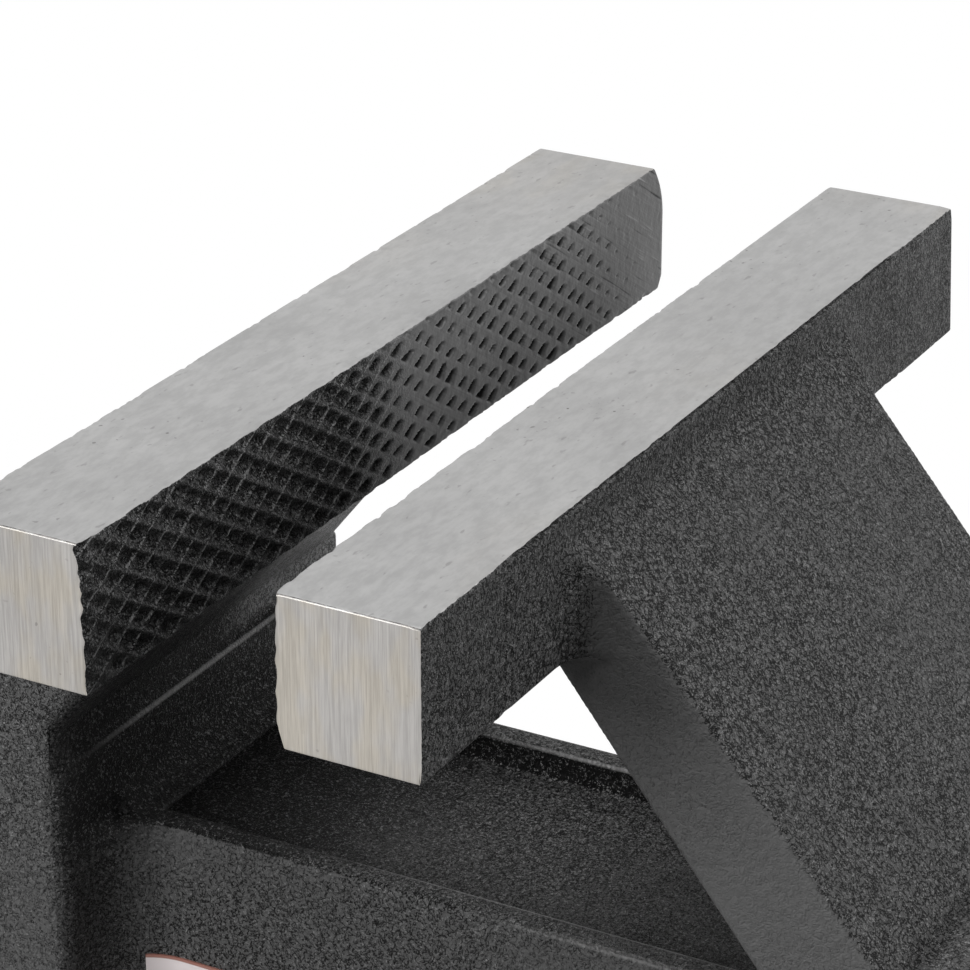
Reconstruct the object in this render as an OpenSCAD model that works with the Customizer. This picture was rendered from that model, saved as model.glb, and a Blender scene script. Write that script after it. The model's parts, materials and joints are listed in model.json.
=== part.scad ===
// Swivel bench vise. The origin is the swivel axis at the bench surface, +Z is up,
// the handle is toward -Y, the anvil toward +Y and the jaws run along X.

/* [Jaws] */
// Length of each jaw bar
jaw_length = 150; // [120:1:180]
// Depth of a jaw bar from its gripping face to its back
bar_depth = 19; // [16:0.5:24]
// Height of a jaw bar
bar_height = 19.5; // [16:0.5:24]
// Opening between the gripping faces as drawn
rest_opening = 25.4; // [5:0.1:60]
// Widest opening between the gripping faces
full_opening = 150; // [100:1:170]
// Width of a serration pit along the jaw
pit_width = 5.75; // [3:0.25:8]
// Height of a serration pit
pit_height = 3.55; // [2.5:0.05:6]
// Depth of the serrations
pit_depth = 1.2; // [0.5:0.1:1.6]

/* [Necks] */
// Width of the neck under each jaw bar and of the housing
neck_width = 74; // [68:1:90]
// Depth from the jaw tops to the slide's lips
throat_depth = 68.7; // [60:0.1:80]
// Distance from the fixed gripping face to the root of its throat
fixed_root = 13.4; // [12:0.1:17]
// Distance from the moving gripping face to the root of its throat
moving_root = 8.5; // [6:0.1:12]
// Run of the throat faces per unit of drop
throat_lean = 0.79; // [0.7:0.01:0.85]
// Run of the necks' backs per unit of drop
back_lean = 0.835; // [0.78:0.01:0.9]
// Drop from the jaw tops to where a neck's back leaves its bar
back_start = 5; // [3:0.5:8]
// Radius of the fillets between a neck's sides and the back of its bar
neck_fillet = 6; // [4:0.5:9]
// Radius of the moving jaw's long outer edges
cast_round = 3; // [1:0.5:4]
// Radius of the fixed jaw's long outer edges
neck_round = 1; // [0.5:0.5:3]

/* [Slide] */
// Width of the slide
slide_width = 47.6; // [44:0.1:52]
// Height of the slide to the top of its lips
slide_height = 54; // [50:0.5:60]
// Thickness of the slide's side walls
slide_wall = 7; // [5:0.5:8]
// Thickness of the slide's roof under the recess
slide_roof = 8; // [6:0.5:10]
// Width of the raised lips along the slide's top edges
lip_width = 4; // [3:0.5:6]
// Height of the lips above the recess
lip_height = 4.2; // [2:0.1:6]
// Radius of the slide's long top edges
lip_round = 0.5; // [0.5:0.5:2.5]
// Running clearance between the slide and the housing, each side
slide_gap = 0.3; // [0.2:0.05:0.5]
// Length of slide left in the housing at the widest opening
slide_hold = 62; // [50:1:80]

/* [Head of the moving jaw] */
// Distance from the moving gripping face to the head's inner face
head_offset = 33; // [30:0.5:36]
// Length of the head
head_length = 47; // [42:1:56]
// Thickness of the head's front wall, which carries the screw
head_wall = 20; // [16:1:24]
// Drop from the jaw tops to the head's top
head_drop = 52; // [48:0.5:54]
// Depth of the head below the slide
head_skirt = 6; // [4:0.5:10]
// Half width of the head at its front
head_nose = 29; // [26:0.5:33]
// Depth of the ledge across the head's inner face
ledge_depth = 1; // [0.5:0.5:3]
// Drop from the jaw tops to that ledge
ledge_drop = 57; // [55:0.5:60]
// Radius of the fillets where the slide's sides meet the head
root_fillet = 10; // [6:0.5:12]
// Radius of the fillet where the slide's top meets the head
top_fillet = 5; // [3:0.5:7]
// Radius of the round boss around the screw
boss_radius = 24; // [22:0.5:26]
// Height of that boss
boss_height = 6; // [4:0.5:10]

/* [Body] */
// Length of the housing along the slide
housing_length = 88; // [80:1:110]
// Thickness of the housing's floor
housing_floor = 14; // [12:0.5:18]
// Radius of the housing's long lower edges and lower corners
housing_round = 10; // [6:0.5:12]
// Distance from the fixed gripping face back to the swivel axis
swivel_offset = 88; // [80:1:96]
// Drop from the jaw tops to the anvil
anvil_drop = 52.5; // [49:0.5:55]
// Height of the anvil above the shoulder around it
anvil_step = 2.5; // [1.5:0.5:4]
// Width of the shoulder beside the anvil
anvil_inset = 2; // [1:0.5:4]
// Overhang of the anvil behind the housing
anvil_overhang = 12; // [6:1:16]
// Thickness of the anvil's overhang
anvil_thickness = 12; // [10:0.5:14]
// Radius of the anvil's rear corners
anvil_round = 14; // [8:1:18]
// Radius of the pedestal's waist
pedestal_radius = 30; // [26:0.5:32]
// Height of the pedestal between the foot and the housing
pedestal_height = 22; // [18:0.5:30]
// Radius of the swivel foot
foot_radius = 64; // [60:0.5:68]
// Thickness of the swivel foot
foot_height = 14; // [12:0.5:18]
// Radius of the ears that take the clamp bolts
ear_radius = 15.5; // [14:0.5:17]
// Height of the ears' faces above the foot
ear_rise = 2; // [1:0.5:4]
// Radius of the spigot that the body turns on
spigot_radius = 20; // [18:0.5:24]
// Length of that spigot
spigot_length = 14; // [10:0.5:18]
// Radius of the cored hole up through the foot
core_radius = 14; // [12:0.5:15.5]
// Thickness of the web under the rear of the housing
web_thickness = 14; // [10:0.5:20]

/* [Swivel base] */
// Radius of the base
base_radius = 82; // [79:0.5:90]
// Height of the base
base_height = 32; // [30:0.5:40]
// Distance of the clamp bolts from the swivel axis
clamp_radius = 51; // [49:0.5:53]
// Width of the ring-shaped slot's mouth
slot_mouth = 13; // [12.6:0.1:14]
// Width of the slot under its mouth
slot_width = 25; // [24:0.5:28]
// Thickness of the lips over the slot
slot_lip = 12; // [10:0.5:14]
// Thickness of the base under the slot
slot_floor = 9; // [7:0.5:11]
// Radius of the hollow under the base
hollow_radius = 66; // [60:1:72]
// Depth of that hollow
hollow_depth = 2.5; // [1:0.5:4]
// Number of mounting lugs
lug_count = 4; // [3:1:6]
// Distance of the mounting holes from the swivel axis
lug_distance = 98; // [94:0.5:110]
// Radius of a lug's round end
lug_radius = 16; // [14:0.5:20]
// Thickness of the lugs
lug_height = 16; // [12:0.5:20]
// Radius of the mounting holes
lug_hole = 6.75; // [5:0.25:8]

/* [Screw and nut] */
// Radius of the screw over its thread
screw_radius = 10; // [9:0.5:11]
// Radius of the screw's thrust flange
flange_radius = 18; // [16:0.5:20]
// Thickness of the thrust flange
flange_thickness = 7; // [5:0.5:10]
// Radius of the hub that holds the handle
hub_radius = 16.5; // [14:0.5:19]
// Length of that hub
hub_length = 36; // [30:1:44]
// Length of screw left past the nut at the widest opening
screw_spare = 4; // [2:0.5:8]
// Length of the nut
nut_length = 46; // [40:1:56]
// Clearance around the nut inside the slide
nut_gap = 0.8; // [0.6:0.1:1.2]
// Radius of the bolt that holds the nut
nut_bolt_radius = 5; // [4:0.5:6]
// Thickness of the thrust washer and the spring washer
screw_washer = 3; // [2:0.5:4]
// Wire radius of the take-up spring
wire_radius = 1.2; // [1:0.1:1.4]
// Number of curls in the take-up spring
spring_curls = 5; // [4:1:6]
// Length of the take-up spring
spring_length = 20; // [18:0.5:22]
// Radius of the cross pin behind the spring washer
pin_radius = 2.5; // [2:0.25:3]

/* [Handle] */
// Radius of the handle bar
handle_radius = 7; // [6:0.5:8]
// Length of the handle over its knobs
handle_length = 200; // [160:1:205]
// Radius of the handle's knobs
knob_radius = 11; // [10:0.5:13]
// Length of a knob
knob_length = 16; // [14:0.5:20]

/* [Swivel clamps] */
// Radius of the clamp bolts
clamp_bolt = 6; // [5:0.25:6]
// Thickness of the clamp washers
clamp_washer = 2.5; // [2:0.5:4]
// Length of a clamp bolt's T-head along the slot
t_head_length = 18; // [14:0.5:22]
// Radius of a clamp lever's hub
lever_hub = 12; // [10:0.5:13]
// Height of a clamp lever's hub
lever_height = 17; // [15:0.5:22]
// Length of a clamp lever from its bolt to its ball
lever_length = 72; // [55:1:80]
// Radius of the ball on a clamp lever
lever_ball = 9; // [7:0.5:11]
// Upward tilt of a clamp lever
lever_rise = 12; // [5:1:20]
// Turn of a clamp lever from straight outward toward the front
lever_turn = 50; // [0:1:70]

/* [Hidden] */
$fn = 64;

// Gap between flat faces that turn on one another
face_gap = 0.1;
// Radial clearance of a turning fit
turn_gap = 0.05;
// Radial clearance of a bolt in its hole
bolt_gap = 0.3;
// Depth by which a shape is sunk into the casting that it belongs to
bury = 3;
// Extra length of a cut past the face that it opens, or of a shape into its neighbour
past = 1;
// Loose clearance around hidden pieces
loose_gap = 1;
// Edge rounding on forged and turned pieces
edge_round = 3;

// Heights, from the bench up
foot_bottom = base_height + face_gap;
foot_top = foot_bottom + foot_height;
housing_bottom = foot_top + pedestal_height;
floor_top = housing_bottom + housing_floor;
slide_bottom = floor_top + slide_gap;
slide_top = slide_bottom + slide_height;
jaw_top = slide_top + throat_depth;
bar_bottom = jaw_top - bar_height;
recess_bottom = slide_top - lip_height;
channel_top = recess_bottom - slide_roof;
channel_width = slide_width - 2 * slide_wall;
screw_z = (channel_top + floor_top) / 2;
anvil_top = jaw_top - anvil_drop;
shoulder_top = anvil_top - anvil_step;
head_top = jaw_top - head_drop;
head_bottom = slide_bottom - head_skirt;
grip_layer = pit_depth + bury;

// Places along Y of the fixed jaw body
fixed_grip = -swivel_offset;
bar_back = fixed_grip + bar_depth;
housing_front = fixed_grip + fixed_root + throat_lean * (throat_depth - bar_height);
housing_rear = housing_front + housing_length;
crease_y = bar_back + back_lean * (anvil_drop + anvil_step - back_start);
anvil_front = crease_y + anvil_step;

// Places along Y of the moving jaw as drawn
moving_grip = fixed_grip - rest_opening;
head_face = moving_grip - head_offset;
head_front = head_face - head_length;
head_shoulder = moving_grip - bar_depth - back_lean * (head_drop - back_start);
throat_end = head_offset + ledge_depth;
throat_end_drop = bar_height + (throat_end - moving_root) / throat_lean;
wall_face = head_front + head_wall;
boss_face = head_front - boss_height;
travel = full_opening - rest_opening;
slide_rear = housing_front + slide_hold + travel;

// Places along Y of the screw and its pieces
flange_back = boss_face - screw_washer - 2 * face_gap;
flange_front = flange_back - flange_thickness;
hub_front = flange_front - hub_length;
handle_y = flange_front - hub_length / 2;
screw_rear = nut_length / 2 + travel + screw_spare;
spring_rear = wall_face + spring_length + face_gap;
pin_y = spring_rear + screw_washer + face_gap + pin_radius;
pin_length = channel_width - 2 * loose_gap;
spring_radius = screw_radius + loose_gap + wire_radius;

// Nut bolt, driven up from the cored hole
core_top = housing_bottom;
nut_bolt_head = 1.3 * nut_bolt_radius;
nut_bolt_washer_t = 2;
nut_bolt_reach = 8;

// Clamp stack above the swivel foot
slot_top = base_height - slot_lip;
clamp_seat = foot_top + ear_rise;
lever_bottom = clamp_seat + clamp_washer + face_gap;
lever_top = lever_bottom + lever_height;
t_head_height = slot_top - slot_floor - 2 * loose_gap;
t_head_width = slot_width - 2 * loose_gap;

// Handle
spigot_fit = 0.7 * handle_radius;
knob_socket = 0.6 * knob_length;

// Corner sliver between a right angle and the circle that fits it, with a margin to bury
module nook(radius, margin = 0) {
    difference() {
        translate([-margin, -margin]) square(radius + margin);
        translate([radius, radius]) circle(radius);
    }
}

// Extrudes a Y-Z outline along X, centred
module along_x(width) {
    translate([-width / 2, 0, 0]) rotate([90, 0, 90]) linear_extrude(width) children();
}

// Extrudes an X-Z outline along Y
module along_y(from, to) {
    translate([0, to, 0]) rotate([90, 0, 0]) linear_extrude(to - from) children();
}

// Extrudes an X-Y outline along Z
module along_z(from, to) {
    translate([0, 0, from]) linear_extrude(to - from) children();
}

// Lays a shape made along Z on the screw's axis, pointing to +Y
module on_screw(y) {
    translate([0, y, screw_z]) rotate([-90, 0, 0]) children();
}

// Copies a shape to both sides of the Y-Z plane
module both_sides() {
    children();
    mirror([1, 0, 0]) children();
}

// Flat ring along Z
module ring(outer, inner, height) {
    rotate_extrude() translate([inner, 0]) square([outer - inner, height]);
}

// Plain part of a jaw bar, behind its serrated layer; the gripping face looks to +Y, at Y 0
module jaw_bar() {
    translate([-jaw_length / 2, -bar_depth, bar_bottom])
        cube([jaw_length, bar_depth - grip_layer, bar_height]);
}

// Triangles of a flat side of the serrated layer: its points take turns between a ridge and a pit,
// first is the place of the first pit among them, 0 or 1, and the side runs on from its last point
// to the corner after and the corner before
function side_faces(points, first, after, before) = let (
    end = len(points) - 1,
    last = end - (end - first) % 2
) concat(
    first == 1 ? [[before, points[0], points[1]]] : [],
    [
        for (i = [first:2:last - 2])
            each [[points[i], points[i + 1], points[i + 2]], [before, points[i], points[i + 2]]]
    ],
    last < end ? [[points[last], points[end], after]] : [],
    [[before, points[last], after]]
);

// Serrated layer of a jaw bar: diagonal ridges cross, with a pointed pit between each four of them
module jaw_pits() {
    // two columns and two rows of points to each pit
    columns = round(2 * jaw_length / pit_width);
    rows = round(2 * bar_height / pit_height);
    grip = [
        for (row = [0:rows], column = [0:columns]) [
            jaw_length * (column / columns - 0.5),
            (row + column) % 2 == 0 ? 0 : -pit_depth,
            bar_bottom + bar_height * row / rows
        ]
    ];
    back = [for (x = [-1, 1], z = [bar_bottom, jaw_top]) [x * jaw_length / 2, -grip_layer, z]];
    function at(row, column) = row * (columns + 1) + column;
    // a side starts on a ridge where its first row and column add up to an even number
    function first_pit(sum) = 1 - sum % 2;
    left_low = len(grip);
    left_high = left_low + 1;
    right_low = left_low + 2;
    right_high = left_low + 3;
    // each square of points is split along its ridge
    facets = [
        for (row = [0:rows - 1], column = [0:columns - 1])
            let (
                a = at(row, column),
                b = at(row, column + 1),
                c = at(row + 1, column + 1),
                d = at(row + 1, column)
            )
            each (row + column) % 2 == 0 ? [[a, b, c], [a, c, d]] : [[a, b, d], [b, c, d]]
    ];
    polyhedron(concat(grip, back), concat(
        facets,
        side_faces([for (column = [0:columns]) at(rows, column)], first_pit(rows), right_high, left_high),
        side_faces([for (column = [columns:-1:0]) at(0, column)], first_pit(columns), left_low, right_low),
        side_faces(
            [for (row = [rows:-1:0]) at(row, columns)], first_pit(rows + columns), right_low, right_high
        ),
        side_faces([for (row = [0:rows]) at(row, 0)], first_pit(0), left_high, left_low),
        [[left_low, left_high, right_high], [left_low, right_high, right_low]]
    ));
}

// Fillets between a neck's sides and the back of its bar; side is 1 where the back faces +Y and -1 where -Y
module neck_fillets(back, side) {
    both_sides() along_z(bar_bottom, jaw_top)
        translate([neck_width / 2, back]) mirror([0, side > 0 ? 0 : 1]) nook(neck_fillet, past);
}

// Point at a distance along the way from one point to another
function on_way(from, to, distance) = from + distance * (to - from) / norm(to - from);

// Cut that rounds a casting's outer edges, on both sides, between two points of its Y-Z outline;
// the casting lies to the right of the way from one point to the other
module edge_cut(from, to, radius) {
    way = to - from;
    both_sides() translate([-neck_width / 2, from[0], from[1]]) rotate([atan2(-way[0], way[1]), 0, 0])
        linear_extrude(norm(way)) nook(radius, past);
}

// Y-Z outline of the fixed jaw's neck and the housing
module fixed_outline() {
    difference() {
        polygon([
            [fixed_grip + fixed_root - throat_lean * bury, bar_bottom + bury],
            [housing_front, slide_top],
            [housing_front, housing_bottom],
            [housing_rear, housing_bottom],
            [housing_rear, shoulder_top],
            [crease_y, shoulder_top],
            [bar_back - bury, jaw_top - back_start + bury / back_lean]
        ]);
        translate([housing_front, housing_bottom]) nook(housing_round, past);
        translate([housing_rear, housing_bottom]) mirror([1, 0]) nook(housing_round, past);
    }
}

// X-Z outline of the neck and housing, round along its lower edges
module housing_outline() {
    difference() {
        translate([-neck_width / 2, housing_bottom]) square([neck_width, jaw_top - housing_bottom]);
        both_sides() translate([-neck_width / 2, housing_bottom]) nook(housing_round, past);
    }
}

// Raised anvil with round rear corners and the fillet under its overhang
module anvil() {
    width = neck_width - 2 * anvil_inset;
    rear = housing_rear + anvil_overhang;
    along_z(anvil_top - anvil_thickness, anvil_top) difference() {
        translate([-width / 2, anvil_front]) square([width, rear - anvil_front]);
        both_sides() translate([-width / 2, rear]) mirror([0, 1]) nook(anvil_round, past);
    }
    along_x(width - 2 * anvil_round) translate([housing_rear, anvil_top - anvil_thickness])
        mirror([0, 1]) nook(anvil_overhang - past, past);
}

// Turned foot with the pedestal's flare, the spigot and the cored hole
module foot() {
    flare = min(pedestal_height - edge_round, clamp_radius - lever_hub - pedestal_radius);
    rotate_extrude() difference() {
        union() {
            translate([0, foot_bottom]) square([foot_radius, foot_height]);
            translate([0, foot_bottom]) square([pedestal_radius, pedestal_height + foot_height + bury]);
            translate([0, foot_bottom - spigot_length]) square([spigot_radius, spigot_length + past]);
            translate([pedestal_radius, foot_top]) nook(flare, past);
        }
        translate([foot_radius, foot_top]) rotate(180) nook(edge_round, past);
        translate([0, foot_bottom - spigot_length - past])
            square([core_radius, core_top - foot_bottom + spigot_length + past]);
    }
}

// Ears for the clamp bolts and the web under the rear of the housing
module foot_ears() {
    both_sides() translate([clamp_radius, 0, foot_bottom])
        cylinder(r = ear_radius, h = foot_height + ear_rise);
}

module rear_web() {
    along_x(web_thickness) polygon([
        [core_radius + bury, foot_top - bury],
        [foot_radius - edge_round - bury, foot_top - bury],
        [foot_radius - edge_round - bury, foot_top],
        [housing_rear - housing_round, housing_bottom + bury],
        [core_radius + bury, housing_bottom + bury]
    ]);
}

// Rounding of the long edges of the fixed jaw's neck and the housing's front
module fixed_edges() {
    throat_top = [fixed_grip + fixed_root, bar_bottom];
    throat_foot = [housing_front, slide_top];
    edge_cut(throat_foot, on_way(throat_top, throat_foot, throat_lean * neck_round), neck_round);
    edge_cut([housing_front, housing_bottom + housing_round], throat_foot, neck_round);
    back_top = [bar_back + neck_fillet, jaw_top - back_start - neck_fillet / back_lean];
    edge_cut(back_top, [crease_y, shoulder_top], neck_round);
}

module fixed_jaw_body() {
    color("dimgray") translate([0, fixed_grip, 0]) mirror([0, 1, 0]) jaw_pits();
    color("dimgray") difference() {
        union() {
            translate([0, fixed_grip, 0]) mirror([0, 1, 0]) jaw_bar();
            intersection() {
                along_x(neck_width) fixed_outline();
                along_y(fixed_grip, housing_rear + past) housing_outline();
            }
            intersection() {
                along_x(jaw_length) fixed_outline();
                neck_fillets(bar_back, 1);
            }
            anvil();
            foot();
            foot_ears();
            rear_web();
        }
        // tunnel for the slide
        translate([-slide_width / 2 - slide_gap, housing_front - neck_width, floor_top])
            cube([
                slide_width + 2 * slide_gap,
                housing_length + 2 * neck_width,
                slide_height + 2 * slide_gap
            ]);
        fixed_edges();
        // holes for the nut bolt and the clamp bolts
        translate([0, 0, core_top - past])
            cylinder(r = nut_bolt_radius + bolt_gap, h = housing_floor + 2 * past);
        both_sides() translate([clamp_radius, 0, foot_bottom - past])
            cylinder(r = clamp_bolt + bolt_gap, h = foot_height + ear_rise + 2 * past);
    }
}

// Y-Z outline of the moving jaw's neck and head
module moving_outline() {
    difference() {
        polygon([
            [moving_grip - moving_root + throat_lean * bury, bar_bottom + bury],
            [moving_grip - throat_end, jaw_top - throat_end_drop],
            [moving_grip - throat_end, jaw_top - ledge_drop],
            [head_face, jaw_top - ledge_drop],
            [head_face, head_bottom],
            [head_front, head_bottom],
            [head_front, head_top],
            [head_shoulder, head_top],
            [moving_grip - bar_depth + bury, jaw_top - back_start + bury / back_lean]
        ]);
        translate([head_front, head_bottom]) nook(housing_round, past);
        translate([head_front, head_top]) mirror([0, 1]) nook(housing_round, past);
    }
}

// X-Y outline of the head, drawn in toward its front
module head_plan() {
    polygon([
        [-neck_width / 2, moving_grip],
        [-neck_width / 2, head_shoulder],
        [-head_nose, head_front],
        [head_nose, head_front],
        [neck_width / 2, head_shoulder],
        [neck_width / 2, moving_grip]
    ]);
}

// X-Z outline of the slide, with the recess between its lips
module slide_outline() {
    difference() {
        translate([-slide_width / 2, slide_bottom]) square([slide_width, slide_height]);
        translate([lip_width - slide_width / 2, recess_bottom])
            square([slide_width - 2 * lip_width, lip_height + past]);
        both_sides() translate([slide_width / 2, slide_top]) rotate(180) nook(lip_round, past);
    }
}

// Fillets where the slide's sides and top run into the head
module slide_root() {
    along_z(slide_bottom, slide_top) both_sides()
        translate([slide_width / 2, head_face]) nook(root_fillet, past);
    along_x(slide_width) translate([head_face, slide_top]) nook(top_fillet, past);
}

// Rounding of the long edges of the moving jaw's neck and the head's inner face
module moving_edges() {
    throat_top = [moving_grip - moving_root, bar_bottom];
    throat_foot = [moving_grip - throat_end, jaw_top - throat_end_drop];
    back_top = [moving_grip - bar_depth - neck_fillet, jaw_top - back_start - neck_fillet / back_lean];
    edge_cut(on_way(throat_top, throat_foot, throat_lean * cast_round), throat_foot, cast_round);
    edge_cut([head_face, jaw_top - ledge_drop], [head_face, head_bottom], cast_round);
    edge_cut([head_shoulder, head_top], back_top, cast_round);
}

module moving_jaw() {
    color("dimgray") translate([0, moving_grip, 0]) jaw_pits();
    color("dimgray") difference() {
        union() {
            translate([0, moving_grip, 0]) jaw_bar();
            intersection() {
                along_x(neck_width) moving_outline();
                along_z(head_bottom, jaw_top) head_plan();
            }
            intersection() {
                along_x(jaw_length) moving_outline();
                neck_fillets(moving_grip - bar_depth, -1);
            }
            along_y(head_face - past, slide_rear) slide_outline();
            slide_root();
            on_screw(boss_face) cylinder(r = boss_radius, h = boss_height + bury);
        }
        moving_edges();
        // channel for the screw and nut, open below
        translate([-channel_width / 2, wall_face, head_bottom - past])
            cube([channel_width, slide_rear - wall_face + past, channel_top - head_bottom + past]);
        // bore for the screw
        on_screw(boss_face - past)
            cylinder(r = screw_radius + turn_gap, h = boss_height + head_wall + 2 * past);
    }
}

module lead_screw() {
    color("silver") difference() {
        union() {
            on_screw(hub_front) cylinder(r = screw_radius, h = screw_rear - hub_front);
            on_screw(flange_front) cylinder(r = flange_radius, h = flange_thickness);
            on_screw(hub_front) rotate_extrude() difference() {
                square([hub_radius, hub_length + past]);
                translate([hub_radius, 0]) mirror([1, 0]) nook(edge_round, past);
            }
        }
        // holes for the handle and the cross pin
        translate([0, handle_y, screw_z]) rotate([0, 90, 0])
            cylinder(r = handle_radius + 2 * turn_gap, h = 4 * hub_radius, center = true);
        translate([0, pin_y, screw_z]) rotate([0, 90, 0])
            cylinder(r = pin_radius + turn_gap, h = 4 * screw_radius, center = true);
    }
}

module screw_nut() {
    width = channel_width - 2 * nut_gap;
    color("peru") difference() {
        along_y(-nut_length / 2, nut_length / 2) union() {
            translate([-width / 2, floor_top]) square([width, screw_z - floor_top]);
            translate([0, screw_z]) circle(width / 2);
        }
        on_screw(-nut_length / 2 - past) cylinder(r = screw_radius + 2 * turn_gap, h = nut_length + 2 * past);
        translate([0, 0, floor_top - past])
            cylinder(r = nut_bolt_radius + turn_gap, h = nut_bolt_reach + 2 * past);
    }
}

module nut_bolt() {
    head_top_z = core_top - nut_bolt_washer_t;
    color("gray") {
        translate([0, 0, head_top_z - nut_bolt_head])
            cylinder(r = 2 * nut_bolt_radius, h = nut_bolt_head, $fn = 6);
        translate([0, 0, head_top_z - past])
            cylinder(r = nut_bolt_radius, h = floor_top - head_top_z + nut_bolt_reach + past);
    }
}

module nut_bolt_washer() {
    color("lightgray") translate([0, 0, core_top - nut_bolt_washer_t])
        ring(core_radius - loose_gap, nut_bolt_radius + bolt_gap, nut_bolt_washer_t);
}

module thrust_washer() {
    color("lightgray") on_screw(flange_back + face_gap)
        ring(flange_radius + past, screw_radius + bolt_gap, screw_washer);
}

// Point of the spring's wire after a number of curls
function spring_point(curl) = let (pitch = (spring_length - 2 * wire_radius) / spring_curls) [
    spring_radius * cos(360 * curl),
    wall_face + wire_radius + pitch * curl,
    screw_z + spring_radius * sin(360 * curl)
];

spring_rings = 16;
spring_sides = 6;
spring_points = [for (i = [0:spring_rings * spring_curls]) spring_point(i / spring_rings)];
spring_least_gap = min([
    for (i = [0:len(spring_points) - 1], j = [i + spring_rings / 2:len(spring_points) - 1])
        norm(spring_points[i] - spring_points[j])
]) - 2 * wire_radius;
echo(spring_least_gap = spring_least_gap);

module take_up_spring() {
    last = len(spring_points) - 1;
    skin = [
        for (i = [0:last], k = [0:spring_sides - 1])
            let (
                out = [cos(360 * i / spring_rings), 0, sin(360 * i / spring_rings)],
                around = 360 * k / spring_sides
            )
            spring_points[i] + wire_radius * (cos(around) * out + sin(around) * [0, 1, 0])
    ];
    walls = [
        for (i = [0:last - 1], k = [0:spring_sides - 1])
            let (a = i * spring_sides, next = (k + 1) % spring_sides)
            each [
                [a + k, a + next, a + spring_sides + k],
                [a + next, a + spring_sides + next, a + spring_sides + k]
            ]
    ];
    caps = [
        for (k = [1:spring_sides - 2])
            each [[0, k + 1, k], [last * spring_sides, last * spring_sides + k, last * spring_sides + k + 1]]
    ];
    color("darkgray") polyhedron(skin, concat(walls, caps));
}

module spring_washer() {
    color("lightgray") on_screw(spring_rear)
        ring(channel_width / 2 - loose_gap, screw_radius + bolt_gap, screw_washer);
}

module cross_pin() {
    color("gray") translate([0, pin_y, screw_z]) rotate([0, 90, 0])
        cylinder(r = pin_radius, h = pin_length, center = true);
}

module handle_bar() {
    shank = handle_length - 2 * knob_length;
    color("silver") translate([0, handle_y, screw_z]) rotate([0, 90, 0]) {
        cylinder(r = handle_radius, h = shank, center = true);
        cylinder(r = spigot_fit, h = shank + 2 * knob_socket - 2 * face_gap, center = true);
    }
}

// Knob on the handle's +X end
module knob() {
    color("silver") translate([handle_length / 2 - knob_length, handle_y, screw_z]) rotate([0, 90, 0])
        rotate_extrude() difference() {
            square([knob_radius, knob_length]);
            square([spigot_fit + turn_gap, knob_socket]);
            translate([knob_radius, 0]) mirror([1, 0]) nook(edge_round, past);
            translate([knob_radius, knob_length]) rotate(180) nook(2 * edge_round, past);
        }
}

module handle_knob_left() mirror([1, 0, 0]) knob();

module handle_knob_right() knob();

// T-headed clamp bolt on the +X side
module clamp_t_bolt() {
    color("gray") {
        translate([clamp_radius - t_head_width / 2, -t_head_length / 2, slot_top - face_gap - t_head_height])
            cube([t_head_width, t_head_length, t_head_height]);
        translate([clamp_radius, 0, slot_top - 2 * past])
            cylinder(r = clamp_bolt, h = lever_top + past - slot_top + 2 * past);
    }
}

module clamp_bolt_left() mirror([1, 0, 0]) clamp_t_bolt();

module clamp_bolt_right() clamp_t_bolt();

module clamp_ring() {
    color("lightgray") translate([clamp_radius, 0, clamp_seat])
        ring(lever_hub + past, clamp_bolt + bolt_gap, clamp_washer);
}

module clamp_washer_left() mirror([1, 0, 0]) clamp_ring();

module clamp_washer_right() clamp_ring();

// Clamp lever on the +X side: threaded hub, tapered arm and ball
module clamp_lever() {
    arm_start = 0.75 * lever_ball;
    arm_end = 0.5 * lever_ball;
    color("dimgray") translate([clamp_radius, 0, lever_bottom]) difference() {
        union() {
            rotate_extrude() difference() {
                square([lever_hub, lever_height]);
                translate([lever_hub, lever_height]) rotate(180) nook(edge_round, past);
            }
            translate([0, 0, lever_height / 2]) rotate([0, 0, -lever_turn]) rotate([0, 90 - lever_rise, 0]) {
                cylinder(r1 = arm_start, r2 = arm_end, h = lever_length);
                translate([0, 0, lever_length]) sphere(lever_ball);
            }
        }
        translate([0, 0, -past]) cylinder(r = clamp_bolt + turn_gap, h = lever_height + 2 * past);
    }
}

module clamp_lever_left() mirror([1, 0, 0]) clamp_lever();

module clamp_lever_right() clamp_lever();

// Mounting lug on the +X axis, without its hole
module lug() {
    root = base_radius - 2 * bury;
    along_z(0, lug_height) {
        translate([lug_distance, 0]) circle(lug_radius);
        polygon([
            [root, -1.7 * lug_radius],
            [lug_distance, -lug_radius],
            [lug_distance, lug_radius],
            [root, 1.7 * lug_radius]
        ]);
    }
}

module swivel_base() {
    color("dimgray") difference() {
        union() {
            rotate_extrude() difference() {
                square([base_radius, base_height]);
                translate([base_radius, base_height]) rotate(180) nook(2 * edge_round, past);
            }
            for (i = [0:lug_count - 1]) rotate(360 * (i + 0.5) / lug_count) lug();
        }
        // ring-shaped T-slot
        translate([0, 0, slot_top - past])
            ring(clamp_radius + slot_mouth / 2, clamp_radius - slot_mouth / 2, slot_lip + 2 * past);
        translate([0, 0, slot_floor])
            ring(clamp_radius + slot_width / 2, clamp_radius - slot_width / 2, slot_top - slot_floor);
        // entry for the T-heads, under the foot at the rear
        translate([0, clamp_radius, slot_top - past]) cylinder(r = slot_width / 2, h = slot_lip + 2 * past);
        // bore for the spigot, the hollow below and the mounting holes
        translate([0, 0, -past]) cylinder(r = spigot_radius + turn_gap, h = base_height + 2 * past);
        translate([0, 0, -past]) cylinder(r = hollow_radius, h = hollow_depth + past);
        for (i = [0:lug_count - 1]) rotate(360 * (i + 0.5) / lug_count)
            translate([lug_distance, 0, -past]) cylinder(r = lug_hole, h = lug_height + 2 * past);
    }
}

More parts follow.
